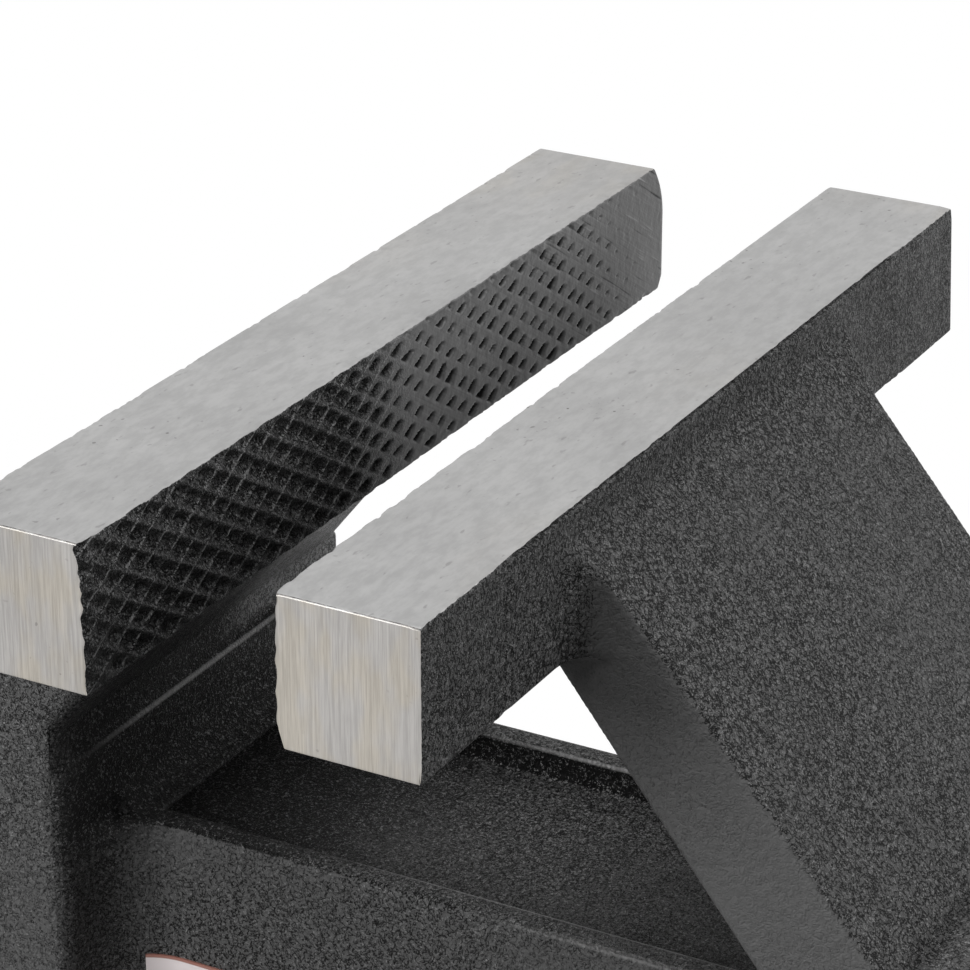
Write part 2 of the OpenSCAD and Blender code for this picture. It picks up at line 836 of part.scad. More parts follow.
swivel_base();
fixed_jaw_body();
moving_jaw();
lead_screw();
screw_nut();
nut_bolt();
nut_bolt_washer();
thrust_washer();
take_up_spring();
spring_washer();
cross_pin();
handle_bar();
handle_knob_left();
handle_knob_right();
clamp_bolt_left();
clamp_bolt_right();
clamp_washer_left();
clamp_washer_right();
clamp_lever_left();
clamp_lever_right();
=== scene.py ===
"""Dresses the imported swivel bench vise: painted castings, ground jaw bars with serrated faces,
turned steel, a threaded screw, a bare label, and the plain studio that shows them."""

import json
import math
from contextlib import contextmanager

import bmesh
import bpy
import numpy as np
from bpy.props import FloatProperty, FloatVectorProperty, IntProperty, PointerProperty
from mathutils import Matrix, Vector
from mathutils.noise import noise

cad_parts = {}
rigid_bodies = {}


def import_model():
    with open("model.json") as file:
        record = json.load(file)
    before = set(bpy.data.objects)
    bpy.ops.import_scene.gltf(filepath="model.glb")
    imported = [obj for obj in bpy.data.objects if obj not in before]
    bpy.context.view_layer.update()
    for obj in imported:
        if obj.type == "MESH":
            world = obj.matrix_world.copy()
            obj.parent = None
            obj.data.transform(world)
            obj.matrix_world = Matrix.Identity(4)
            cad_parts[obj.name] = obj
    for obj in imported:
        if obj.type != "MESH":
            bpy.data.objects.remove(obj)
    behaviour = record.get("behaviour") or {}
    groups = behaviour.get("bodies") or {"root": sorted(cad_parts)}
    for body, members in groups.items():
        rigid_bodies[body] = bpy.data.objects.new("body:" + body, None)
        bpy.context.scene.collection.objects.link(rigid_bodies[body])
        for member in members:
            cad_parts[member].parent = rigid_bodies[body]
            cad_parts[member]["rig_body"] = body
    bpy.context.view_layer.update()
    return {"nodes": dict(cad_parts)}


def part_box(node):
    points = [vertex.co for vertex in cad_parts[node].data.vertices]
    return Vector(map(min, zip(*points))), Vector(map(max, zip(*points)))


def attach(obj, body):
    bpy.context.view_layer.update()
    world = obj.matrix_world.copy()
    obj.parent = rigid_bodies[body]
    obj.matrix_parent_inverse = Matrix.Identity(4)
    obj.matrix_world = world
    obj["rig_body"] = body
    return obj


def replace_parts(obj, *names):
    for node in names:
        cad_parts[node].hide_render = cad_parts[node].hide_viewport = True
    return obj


bl_info = {
    "name": "Swivel bench vise",
    "version": (1, 0, 0),
    "blender": (4, 5, 0),
    "location": "3D View > Sidebar > Vise",
    "description": "Dresses the packed bench vise with cast, ground and turned surfaces",
    "category": "Object",
}

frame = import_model()
JAW_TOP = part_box("fixed_jaw_body")[1].z
FIXED_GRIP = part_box("fixed_jaw_body")[0].y
JAW_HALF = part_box("fixed_jaw_body")[1].x
MM = 0.001
WHITE = (1, 1, 1, 1)

# Depth of the paint's and the steel's grain
GRAIN_RELIEF = 1.1 * MM
STEEL_RELIEF = 0.03 * MM

# Nearness at which points are joined, and at which they count as lying on a cut
WELD = 0.001 * MM
CUT_NEARNESS = 0.0001 * MM

# Angles in degrees beyond which an edge is shaded sharp
CAST_ANGLE = 60
PLATE_ANGLE = 40
MACHINED_ANGLE = 35

# Serrations: mesh steps over half a pit, depth of the rim that follows them, and their depth in pit depths
PIT_STEPS = 8
GRIP_RIM = 1.6 * MM
NEAR_GAIN = 1.2
FAR_GAIN = 1.5

# A noise's mean and middle part, and where a grain's hollows end and its points begin
MEAN = 0.5
MIDDLE = (0.3, 0.7)
HOLLOW_EDGE = (0.4, 0.48)
POINT_EDGE = (0.52, 0.61)


def size(name, description, default):
    """A length property; its default is given in millimetres."""
    kind = {"precision": 5, "subtype": "DISTANCE", "unit": "LENGTH"}
    return FloatProperty(name=name, description=description, default=default * MM, **kind)


def shade(name, description, default):
    """A colour property, in linear red, green and blue."""
    kind = {"min": 0, "max": 1, "size": 3, "subtype": "COLOR"}
    return FloatVectorProperty(name=name, description=description, default=default, **kind)


def power(name, description, default):
    """A lamp's power property, in watts."""
    return FloatProperty(name=name, description=description, default=default, unit="POWER")


class BarSizes(bpy.types.PropertyGroup):
    """Sizes of the two jaw bars."""

    depth: size("Depth", "From the gripping face to the back", 19)
    height: size("Height", "From the underside to the ground top", 19.5)
    opening: size("Opening", "Between the two gripping faces at rest", 25.4)
    pit_width: size("Pit width", "Length of a serration pit along the jaw", 5.75)
    pit_height: size("Pit height", "Height of a serration pit", 3.55)
    pit_depth: size("Pit depth", "Depth of the serration's pits", 1.2)
    edge_round: size("Edge radius", "Radius of the bars' long edges", 0.35)
    end_round: size("End radius", "Radius round the bars' ends", 0.25)
    chip: size("Chips", "Depth of the nicks along the edges", 0.35)
    lap: size("Lap", "How far the casting and the bar go under each other's surface", 0.4)
    end_lap: size("End lap", "How far the casting stays inside a bar's ends", 6)
    neck_reach: size("Neck reach", "Where the casting's own skin makes the bar's back, from the middle", 50)


class CastingSizes(bpy.types.PropertyGroup):
    """Sizes of the cast surfaces."""

    voxel: size("Skin step", "Step of the casting's skin", 0.6)
    passes: IntProperty(name="Softening", description="Passes that soften the cast edges", default=1, min=0)
    # These sizes also place the moving jaw's painted shade and painted highlights; the ledge's light line
    # is a painted highlight.
    ledge_height: size("Ledge height", "Height of the rubbed ledge on the moving jaw", 148.1)
    ledge_back: size("Ledge setback", "From the gripping face back to that ledge", 33)
    slide_top: size("Slide top", "Height of the lips along the slide's top", 136.4)
    slide_half: size("Half slide", "From the middle to the slide's side", 23.8)
    lip: size("Lip", "Width of the lips along the slide's top", 4)


class ScrewSizes(bpy.types.PropertyGroup):
    """Sizes of the lead screw's thread."""

    lead: size("Lead", "Advance of one turn", 5)
    major: size("Outer radius", "Radius over the thread", 10)
    minor: size("Root radius", "Radius at the thread's root", 7.6)
    start: size("Start", "Where the thread starts along the screw", -142)


class LabelSizes(bpy.types.PropertyGroup):
    """Place and size of the bare label on the slide's side."""

    front: size("Front", "Where the label starts along the slide", -141.6)
    top: size("Top", "Height of the label's top edge", 115.9)
    length: size("Length", "Length along the slide", 60)
    height: size("Height", "Height of the label", 22)
    thickness: size("Thickness", "How far it stands off the slide", 0.15)


class Finishes(bpy.types.PropertyGroup):
    """Colours of the vise's finishes."""

    paint_dark: shade("Paint hollows", "Hollows of the black paint's grain", (0.005, 0.005, 0.005))
    paint: shade("Paint", "Black satin paint on the castings", (0.078, 0.078, 0.078))
    paint_light: shade("Paint points", "Light threads of the paint's grain", (0.24, 0.24, 0.24))
    grip: shade("Serrations", "Black paint on the gripping faces", (0.052, 0.052, 0.052))
    # Black of the pits and grain hollows, also painted shade on the serrations' rows and the moving jaw's
    # channel and throat.
    pit_and_shade_black: shade("Pit bottoms", "Black bottoms of the serration's pits", (0.004, 0.004, 0.004))
    # Painted highlight: the light ridge lines, glints and lit marks of the serrations and the light patch
    # in the moving jaw's throat.
    painted_highlight: shade("Ridges", "Rubbed ridges of the serrations", (0.3, 0.3, 0.3))
    # Also the colour of the painted highlights along the moving jaw's ledge and lip edges.
    ground: shade("Ground steel", "Ground tops and ends of the bars", (0.38, 0.378, 0.376))
    pits: shade("Pits", "Dark pits in the ground steel", (0.13, 0.125, 0.12))
    # A darker line of its own colour along the bevels between the bars' tops and ends.
    end_bevel_grey: shade("Worn edges", "Line along the bars' end edges", (0.19, 0.19, 0.187))
    turned: shade("Turned steel", "Screw and handle", (0.5, 0.495, 0.485))
    zinc: shade("Plated steel", "Bolts, washers and spring", (0.56, 0.555, 0.53))
    iron: shade("Bare iron", "The nut inside the slide", (0.2, 0.185, 0.17))
    label: shade("Label", "Bare label", (0.77, 0.7, 0.7))
    label_edge: shade("Label edge", "Line along the label's top", (0.3, 0.13, 0.1))


class StageSettings(bpy.types.PropertyGroup):
    """Light and floor of the studio."""

    key: power("Key lamp", "Power of the lamp above", 15)
    side: power("Side lamp", "Power of the lamp at the end", 14)
    back: power("Back lamp", "Power of the lamp behind", 11)
    ambient: FloatProperty(name="Ambient", description="Light from all round", default=0.1, min=0)
    floor: shade("Floor", "Pale floor near the vise", (0.9, 0.9, 0.9))
    bounce: shade("Bounce", "What the floor sends back to the vise", (0.1, 0.1, 0.1))


class Nodes:
    """A node tree in the making."""

    def __init__(self, tree):
        self.tree = tree

    def node(self, kind, inputs=None, **settings):
        """Adds a node; an input is a value or another node's output."""
        node = self.tree.nodes.new(kind)
        for name, value in settings.items():
            setattr(node, name, value)
        for key, value in (inputs or {}).items():
            self.feed(node.inputs[key], value)
        return node

    def feed(self, socket, value):
        """Sets a socket to a value, or links it to another node's output."""
        if isinstance(value, bpy.types.NodeSocket):
            self.tree.links.new(value, socket)
        else:
            socket.default_value = value

    def math(self, operation, first, second=0.0):
        """One number from two."""
        return self.node("ShaderNodeMath", {0: first, 1: second}, operation=operation).outputs["Value"]

    def times(self, first, *others):
        """The product of some numbers."""
        for other in others:
            first = self.math("MULTIPLY", first, other)
        return first

    def most(self, first, *others):
        """The greatest of some numbers."""
        for other in others:
            first = self.math("MAXIMUM", first, other)
        return first

    def plus(self, first, second):
        """The sum of two numbers."""
        return self.math("ADD", first, second)

    def less(self, first, second):
        """The first number less the second."""
        return self.math("SUBTRACT", first, second)

    def unsigned(self, value):
        """A number without its sign."""
        return self.math("ABSOLUTE", value)

    def square(self, value, radius):
        """The square of a distance counted in radii."""
        part = self.math("DIVIDE", value, radius)
        return self.times(part, part)

    def ramp(self, value, start, end, low=0.0, high=1.0):
        """Takes a value from start to end to a smooth way from low to high."""
        inputs = {"Value": value, "From Min": start, "From Max": end, "To Min": low, "To Max": high}
        return self.node("ShaderNodeMapRange", inputs, interpolation_type="SMOOTHSTEP").outputs["Result"]

    def fade(self, length, start, end, low=0.0, high=1.0):
        """A ramp over a length, whose start and end are in millimetres."""
        return self.ramp(length, start * MM, end * MM, low, high)

    def mix(self, factor, first, second):
        """Blends two colours."""
        first, second = (v if isinstance(v, bpy.types.NodeSocket) else (*v, 1) for v in (first, second))
        return self.node("ShaderNodeMix", {0: factor, 6: first, 7: second}, data_type="RGBA").outputs[2]

    def blend(self, factor, first, second):
        """Blends two numbers."""
        return self.node("ShaderNodeMix", {0: factor, 2: first, 3: second}, data_type="FLOAT").outputs[0]

    def show(self, output, factor, first, second):
        """Blends two shaders in the tree's output."""
        shaders = {0: factor, 1: first.outputs[0], 2: second.outputs[0]}
        both = self.node("ShaderNodeMixShader", shaders)
        self.feed(self.tree.nodes[output].inputs["Surface"], both.outputs[0])


class Look(Nodes):
    """A material in the making: its nodes, its shader, and where a point lies on its piece."""

    def __init__(self, name, roughness=0.5, metallic=0.0, specular=0.5):
        self.material = bpy.data.materials.new(name)
        self.material.use_nodes = True
        super().__init__(self.material.node_tree)
        self.shader = self.tree.nodes["Principled BSDF"]
        self.shader.inputs["Specular IOR Level"].default_value = specular
        self.use(roughness=roughness, metallic=metallic)
        coordinates = self.node("ShaderNodeTexCoord")
        self.place = coordinates.outputs["Object"]
        self.x, self.y, self.z = self.split(self.place)
        self.facing = self.split(coordinates.outputs["Normal"])

    def split(self, vector):
        """The three numbers of a vector."""
        parts = self.node("ShaderNodeSeparateXYZ", {"Vector": vector})
        return parts.outputs["X"], parts.outputs["Y"], parts.outputs["Z"]

    def noise(self, cells, detail=2.0, stretch=(1, 1, 1), roughness=0.5, shift=0.0):
        """Noise about 0.5, in cells a metre: stretch shortens them along X, Y, Z and shift moves them."""
        mapping = {"Vector": self.place, "Scale": stretch, "Location": (shift, shift, shift)}
        place = self.node("ShaderNodeMapping", mapping).outputs["Vector"]
        inputs = {"Vector": place, "Scale": cells, "Detail": detail, "Roughness": roughness}
        return self.node("ShaderNodeTexNoise", inputs).outputs["Fac"]

    def bump(self, height, distance, below=None):
        """Normal of a surface whose height goes from 0 to a distance in metres, on top of another bump."""
        node = self.node("ShaderNodeBump", {"Height": height, "Distance": distance, "Strength": 1.0})
        if below is not None:
            self.feed(node.inputs["Normal"], below)
        return node.outputs["Normal"]

    def use(self, **sockets):
        """Feeds the shader's sockets, named with underscores for spaces, and gives the material."""
        for name, value in sockets.items():
            self.feed(self.shader.inputs[name.replace("_", " ").title()], value)
        return self.material


def scaled(colour, *gains):
    """A colour times one gain, or times a gain for each of red, green and blue."""
    return [c * k for c, k in zip(colour, gains * 3 if len(gains) == 1 else gains)]


def grain_colour(look, value, dark, middle, light):
    """Colour of a grain: hollows, body and points, as a noise value goes from low to high."""
    body = look.mix(look.ramp(value, *HOLLOW_EDGE), dark, middle)
    return look.mix(look.ramp(value, *POINT_EDGE), body, light)


def threads(look, cells, width, shift):
    """1 along thin winding lines, where a noise passes its mean, and 0 away from them."""
    value = look.noise(cells, roughness=0.65, shift=shift)
    return look.ramp(look.unsigned(look.less(value, MEAN)), width, 0.0)


def sand_grain(look):
    """Height of the castings' grain, about 0.5: fine sand with thin raised and sunken threads."""
    raised_height, sunken_depth = 0.11, 0.18
    fine, coarse = look.noise(cells=3000, roughness=0.7), look.noise(cells=1400, roughness=0.6)
    sand = look.blend(0.5, fine, coarse)
    raised = look.times(threads(look, cells=1300, width=0.05, shift=0.0), raised_height)
    sunken = look.times(threads(look, cells=1150, width=0.07, shift=0.5), sunken_depth)
    return look.plus(look.blend(0.5, MEAN, sand), look.less(raised, sunken))


def toned(look, value, strength):
    """A noise value brought nearer to its mean by a strength below 1."""
    return look.plus(MEAN, look.times(look.less(value, MEAN), strength))


def paint_layer(look, colours, side_grain, sand):
    """Colour, roughness and height of the grainy paint; faces that look along X are plainer, pebbled and
    painted lighter as painted light.
    """
    side_light_gain = 1.4
    side = look.ramp(look.unsigned(look.facing[0]), 0.45, 0.95)
    patches = look.ramp(look.noise(cells=28), 0.35, 0.65, low=0.65, high=1.15)
    grain = toned(look, sand, look.times(patches, look.blend(side, 1.0, side_grain)))
    pebbles = look.times(look.noise(cells=750), look.times(side, side_grain))
    roughness = look.ramp(look.noise(cells=140), *MIDDLE, low=0.42, high=0.55)
    # Painted light: faces that look along X get a lighter body.
    plain = look.times(side, 1 - side_grain)
    body = look.mix(plain, colours.paint, scaled(colours.paint, side_light_gain))
    colour = grain_colour(look, grain, colours.paint_dark, body, colours.paint_light)
    return colour, roughness, look.plus(grain, pebbles)


def near_edge(look, first, second, inner, outer):
    """1 within an inner and 0 beyond an outer reach of an edge in millimetres, by two distances."""
    squares = look.plus(look.square(first, MM), look.square(second, MM))
    return look.ramp(squares, outer**2, inner**2)


def jaw_painted_light_and_shade(look, castings, head, sand, colour, colours):
    """Colour of the moving jaw's paint with painted shade in its channel and throat, painted light on the
    throat's far half and painted highlights along its ledge and lips; head is the Y of its inner face.
    """
    aside = look.unsigned(look.x)
    above_lips = look.less(look.z, castings.slide_top)
    above_ledge = look.less(look.z, castings.ledge_height)
    behind = look.less(look.y, head)
    after_head = look.fade(behind, -2.5, -1.5)
    half_channel = castings.slide_half - castings.lip
    channel_edge = look.less(aside, half_channel)
    side_edge = look.less(aside, castings.slide_half)

    # Painted shade: the channel's walls, the recess by the head, the lip tops near it and the throat are
    # darkened toward black.
    in_channel = look.times(look.fade(above_lips, 0.3, -0.8), look.fade(channel_edge, 1.2, 0.6))
    wall = look.ramp(look.unsigned(look.facing[0]), *MIDDLE)
    by_head = look.times(after_head, look.fade(behind, 48, 16, high=0.8))
    channel = look.times(in_channel, look.most(wall, by_head))
    upward = look.times(look.ramp(look.facing[2], 0.5, 0.9), after_head)
    lip_tops = look.times(upward, look.fade(above_lips, -1.2, -0.4))
    lip_tops = look.times(lip_tops, look.fade(behind, 40, 18, high=0.8))

    corner_lean = 0.25
    inward = look.times(look.ramp(look.facing[1], 0.1, 0.8), after_head)
    far_half = look.times(look.fade(look.x, -3, -18), look.fade(above_ledge, 0.5, 2.5))
    from_corner = look.plus(aside, look.times(above_ledge, corner_lean))
    throat = look.times(inward, look.fade(from_corner, 39, 29), look.fade(above_lips, -5, 2))
    throat = look.times(throat, look.less(1.0, far_half))
    painted_shade = look.times(look.most(channel, lip_tops, throat), look.ramp(sand, 0.6, 0.52))
    colour = look.mix(painted_shade, colour, colours.pit_and_shade_black)
    # Painted light: a lighter patch on the far half of the throat above the ledge.
    painted_light = look.times(inward, far_half, look.ramp(sand, 0.42, 0.54, low=0.3, high=0.95))
    colour = look.mix(painted_light, colour, colours.painted_highlight)

    # Painted highlights: thin light lines in the ground steel's colour along the ledge, the channel's lip
    # edges and the slide's top edges.
    ledge = near_edge(look, behind, above_ledge, 0.15, 0.55)
    ledge = look.times(ledge, look.fade(aside, 35, 12))
    lips = near_edge(look, channel_edge, above_lips, 0.2, 0.6)
    lips = look.times(lips, look.fade(behind, 28, 50, high=0.65))
    sides = near_edge(look, side_edge, above_lips, 0.4, 0.8)
    sides = look.times(sides, look.fade(behind, 50, 76, high=0.3))
    return look.mix(look.most(ledge, lips, sides), colour, colours.ground)


def paint_finish(name, colours, side_grain, castings=None, head=None):
    """Black grainy satin paint of the castings, with the moving jaw's painted shade and painted light where
    its sizes are given.
    """
    look = Look(name, specular=0.1)
    sand = sand_grain(look)
    colour, roughness, height = paint_layer(look, colours, side_grain, sand)
    if castings is not None:
        colour = jaw_painted_light_and_shade(look, castings, head, sand, colour, colours)
    return look.use(base_color=colour, roughness=roughness, normal=look.bump(height, GRAIN_RELIEF))


def milling_marks(look):
    """Noise drawn out along the slanting marks of the serrations' milling."""
    slope, along, across = math.radians(32), 60, 1000
    run, rise = math.cos(slope), math.sin(slope)
    ahead = look.plus(look.times(look.x, run), look.times(look.z, rise))
    aside = look.less(look.times(look.z, run), look.times(look.x, rise))
    place = {0: look.times(ahead, along), 1: look.times(aside, across)}
    point = look.node("ShaderNodeCombineXYZ", place)
    inputs = {"Vector": point.outputs[0], "Scale": 1.0, "Detail": 2.0}
    return look.node("ShaderNodeTexNoise", inputs).outputs["Fac"]


def grip_layer(look, colours, bar, from_grip, grain):
    """Colour, roughness and height of the serrated faces: rough at the near end, brushed at the far one,
    with painted shade and painted highlights.
    """
    half_width, half_height = half_pit(bar)
    brushed_gain, ridge_outer, ridge_inner = 1.9, 0.13, 0.03
    far = look.fade(look.x, 20, -4)
    last = look.fade(look.x, -20, -60, low=0.15)
    columns = look.math("DIVIDE", look.plus(look.x, JAW_HALF), half_width)
    rows = look.math("DIVIDE", look.less(look.z, JAW_TOP - bar.height), half_height)
    falling = look.math("FLOORED_MODULO", look.less(columns, rows), 2.0)
    rising = look.math("FLOORED_MODULO", look.plus(columns, rows), 2.0)

    # Painted highlight: light specks on the rough grain stand for glints.
    sparkle = look.ramp(look.noise(cells=2400, roughness=0.7), 0.58, 0.66)
    rough = grain_colour(look, grain, colours.pit_and_shade_black, colours.grip, colours.paint_light)
    rough = look.mix(sparkle, rough, colours.painted_highlight)
    # Painted shade: dark bands along the falling rows of pits.
    shaded = look.times(look.ramp(falling, 0.05, 0.25), look.ramp(falling, 1.1, 0.6, high=0.65))
    rough = look.mix(shaded, rough, colours.pit_and_shade_black)

    marks = milling_marks(look)
    scored = look.times(look.ramp(marks, 0.4, 0.3), last)
    lit = look.times(look.ramp(marks, 0.62, 0.72), last)
    brushed = look.mix(scored, scaled(colours.paint, brushed_gain), colours.pit_and_shade_black)
    brushed = look.mix(lit, brushed, colours.painted_highlight)
    sunk = look.fade(from_grip, 0.15, 0.5)
    colour = look.mix(far, rough, look.mix(sunk, brushed, colours.pit_and_shade_black))

    # Painted highlight: light lines along the rising ridges, toward the near end.
    from_ridge = look.less(1.0, look.unsigned(look.less(rising, 1.0)))
    painted_light = look.times(look.fade(look.x, -8, 14), look.ramp(grain, 0.42, 0.52))
    line = look.times(look.ramp(from_ridge, ridge_outer, ridge_inner), painted_light)
    colour = look.mix(line, colour, colours.painted_highlight)
    dull = toned(look, look.blend(0.5, marks, look.noise(cells=700)), 0.25)
    roughness = look.blend(far, 0.5, look.blend(sunk, 0.28, 0.6))
    return colour, roughness, look.blend(far, grain, dull)


def ground_layer(look, colours, on_end):
    """Colour, roughness and height of ground steel: faint marks on top, upright streaks on the ends."""
    lengthwise, upright = (1, 2.5, 1), (1, 32, 1)
    warm_gains, cool_gains = (1.1, 1.03, 0.92), (1.06, 1.03, 1.0)
    marks = look.noise(cells=300, detail=3, stretch=lengthwise, roughness=0.7)
    streaks = look.noise(cells=130, detail=3, stretch=upright, roughness=0.75)
    lay = look.blend(on_end, marks, streaks)
    gain = look.ramp(lay, *MIDDLE, look.blend(on_end, 0.91, 0.85), look.blend(on_end, 1.09, 1.12))
    warm, cool = (scaled(colours.ground, *gains) for gains in (warm_gains, cool_gains))
    tinted = look.mix(look.ramp(look.noise(cells=110, stretch=(1, 2, 1)), 0.4, 0.6), warm, cool)
    tint = look.blend(on_end, look.ramp(look.noise(cells=18, detail=1), 0.52, 0.75, high=0.4), 1.0)
    plain = look.mix(tint, colours.ground, tinted)
    cloudy = look.ramp(look.noise(cells=45, detail=3), *MIDDLE, low=0.95, high=1.05)
    shaded = look.node("ShaderNodeVectorMath", {0: plain}, operation="SCALE")
    look.feed(shaded.inputs["Scale"], look.times(gain, cloudy))

    scuffs = look.ramp(look.noise(cells=380, stretch=lengthwise, shift=0.3), 0.66, 0.74, high=0.35)
    areas = look.ramp(look.noise(cells=60), 0.5, 0.7)
    areas = look.times(areas, look.blend(on_end, 1.0, 0.5))
    pits = look.times(look.ramp(look.noise(cells=1000, detail=1), 0.7, 0.75), areas)
    worn = look.most(pits, look.times(scuffs, look.blend(on_end, 1.0, 0.0)))
    colour = look.mix(worn, shaded.outputs[0], colours.pits)
    # A darker line along the bevels between the tops and the ends.
    bright = look.ramp(look.noise(cells=120, detail=5, roughness=0.8), 0.44, 0.58)
    edge_line = look.mix(bright, colours.pits, colours.end_bevel_grey)
    on_edge = look.times(look.facing[2], look.unsigned(look.facing[0]))
    colour = look.mix(look.ramp(on_edge, 0.3, 0.45), colour, edge_line)
    roughness = look.ramp(lay, 0.2, 0.8, low=0.34, high=0.44)
    return colour, roughness, look.less(lay, worn)


def bar_finish(name, colours, bar, grip):
    """Ground steel on a bar's top and ends, serrated paint on its grip, grainy paint on the rest."""
    look = Look(name, specular=0.12)
    bare_metal = 0.9
    border = look.ramp(look.noise(cells=1300, detail=3), *MIDDLE, low=-0.1, high=0.1)
    from_end = look.less(JAW_HALF, look.unsigned(look.x))
    endward = look.plus(look.unsigned(look.facing[0]), border)
    on_end = look.times(look.ramp(endward, 0.6, 0.72), look.fade(from_end, 5, 4.5))
    from_top = look.less(JAW_TOP, look.z)
    topward = look.plus(look.facing[2], border)
    on_top = look.times(look.ramp(topward, 0.72, 0.84), look.fade(from_top, 0.8, 0.6))
    bare = look.most(on_end, on_top)
    from_grip = look.unsigned(look.less(look.y, grip))
    on_grip = look.ramp(from_grip, grip_depth(bar) + 0.3 * MM, grip_depth(bar))

    sand = sand_grain(look)
    paint, paint_rough, paint_height = paint_layer(look, colours, 1.0, sand)
    pits, pits_rough, pits_height = grip_layer(look, colours, bar, from_grip, sand)
    steel, steel_rough, steel_height = ground_layer(look, colours, on_end)
    colour = look.mix(bare, look.mix(on_grip, paint, pits), steel)
    rough = look.blend(bare, look.blend(on_grip, paint_rough, pits_rough), steel_rough)
    height = look.blend(on_grip, paint_height, pits_height)
    painted = look.bump(height, look.blend(bare, GRAIN_RELIEF, 0.0))
    normal = look.bump(steel_height, look.blend(bare, 0.0, STEEL_RELIEF), painted)
    metal = look.times(bare, bare_metal)
    return look.use(base_color=colour, roughness=rough, metallic=metal, normal=normal)


def turned_finish(name, colour, axis):
    """Turned steel: fine rings round an axis, with a few dull spots."""
    look = Look(name, metallic=1.0)
    fine = 30
    dark_gain, light_gain, spot_gain = 0.8, 1.1, 0.7
    stretch = tuple(fine if i == axis else 1 for i in range(3))
    rings = look.noise(cells=60, detail=3, stretch=stretch, roughness=0.7)
    spots = look.ramp(look.noise(cells=180, detail=3), 0.55, 0.75)
    dark, light = scaled(colour, dark_gain), scaled(colour, light_gain)
    shaded = look.mix(look.ramp(rings, 0.25, 0.75), dark, light)
    shaded = look.mix(spots, shaded, scaled(colour, spot_gain))
    rough = look.ramp(rings, 0.2, 0.8, low=0.24, high=0.38)
    return look.use(base_color=shaded, roughness=rough, normal=look.bump(rings, STEEL_RELIEF))


def plated_finish(colours):
    """Plated steel of the fasteners: a fine cloudy crystal."""
    look = Look("plated_steel", metallic=1.0)
    dark_gain = 0.75
    cloud = look.noise(cells=240, detail=4, roughness=0.7)
    colour = look.mix(look.ramp(cloud, *MIDDLE), scaled(colours.zinc, dark_gain), colours.zinc)
    rough = look.ramp(cloud, *MIDDLE, low=0.42, high=0.3)
    normal = look.bump(look.noise(cells=1500), STEEL_RELIEF)
    return look.use(base_color=colour, roughness=rough, normal=normal)


def iron_finish(colours):
    """Bare cast iron of the nut: sandy, with rusty patches."""
    look = Look("bare_iron", metallic=0.6)
    rust_gains, relief = (1.1, 0.75, 0.5), 0.2 * MM
    sand = look.noise(cells=1300, detail=3, roughness=0.6)
    patches = look.ramp(look.noise(cells=110, detail=3), 0.5, 0.7)
    colour = look.mix(patches, colours.iron, scaled(colours.iron, *rust_gains))
    rough = look.ramp(sand, *MIDDLE, low=0.7, high=0.5)
    return look.use(base_color=colour, roughness=rough, normal=look.bump(sand, relief))


def label_finish(colours, label):
    """Bare paper label with a thin coloured line along its top edge."""
    look = Look("bare_label")
    dark_gain, light_gain, relief = 0.95, 1.03, 0.01 * MM
    line = look.ramp(look.z, label.top - 0.5 * MM, label.top - 0.35 * MM)
    paper = look.noise(cells=500, detail=3)
    face = look.mix(paper, scaled(colours.label, dark_gain), scaled(colours.label, light_gain))
    colour = look.mix(line, face, colours.label_edge)
    rough = look.ramp(paper, *MIDDLE, low=0.3, high=0.4)
    return look.use(base_color=colour, roughness=rough, normal=look.bump(paper, relief))


def add_piece(name, mesh, material, body):
    """Shows a mesh as a piece that rides on a body."""
    mesh.materials.clear()
    mesh.materials.append(material)
    piece = bpy.data.objects.new(name, mesh)
    bpy.context.scene.collection.objects.link(piece)
    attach(piece, body)
    return piece


def replace_node(node, name, mesh, material):
    """Shows a mesh as a piece in place of a node."""
    body = frame["nodes"][node]["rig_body"]
    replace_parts(add_piece(name, mesh, material, body), node)


@contextmanager
def edited(mesh):
    """Opens a mesh for edits and writes them back."""
    work = bmesh.new()
    work.from_mesh(mesh)
    yield work
    work.to_mesh(mesh)
    work.free()


def welded_copy(node):
    """A node's mesh with its corners joined, as its own copy."""
    mesh = frame["nodes"][node].data.copy()
    mesh.name = node + "_skin"
    with edited(mesh) as work:
        bmesh.ops.remove_doubles(work, verts=work.verts, dist=WELD)
    return mesh


def with_modifiers(mesh, *modifiers):
    """The mesh after some modifiers, each given as its kind and its settings."""
    worker = bpy.data.objects.new("worker", mesh)
    bpy.context.scene.collection.objects.link(worker)
    for kind, settings in modifiers:
        modifier = worker.modifiers.new(kind, kind)
        for name, value in settings.items():
            setattr(modifier, name, value)
    evaluated = worker.evaluated_get(bpy.context.evaluated_depsgraph_get())
    result = bpy.data.meshes.new_from_object(evaluated)
    bpy.data.objects.remove(worker)
    return result


def smooth_shading(mesh, angle):
    """Shades a mesh smooth except over edges sharper than an angle in degrees."""
    mesh.polygons.foreach_set("use_smooth", [True] * len(mesh.polygons))
    mesh.set_sharp_from_angle(angle=math.radians(angle))


def points_of(mesh):
    """The mesh's points as rows of X, Y and Z."""
    points = np.empty(3 * len(mesh.vertices))
    mesh.vertices.foreach_get("co", points)
    return points.reshape(-1, 3)


def set_points(mesh, points):
    """Moves the mesh's points."""
    mesh.vertices.foreach_set("co", points.ravel())
    mesh.update()


def noise_over(grid, step, seed):
    """Smooth noise from -1 to 1 over a grid of points, with humps about a step in millimetres across."""
    values = [noise(Vector(p) / (step * MM) + Vector((seed, 0, 0))) for p in grid.reshape(-1, 3)]
    return np.array(values).reshape(grid.shape[:-1])


def share(value, start, end):
    """How much of the way from start to end a value has gone, from 0 to 1."""
    return np.clip((value - start) / (end - start), 0, 1)


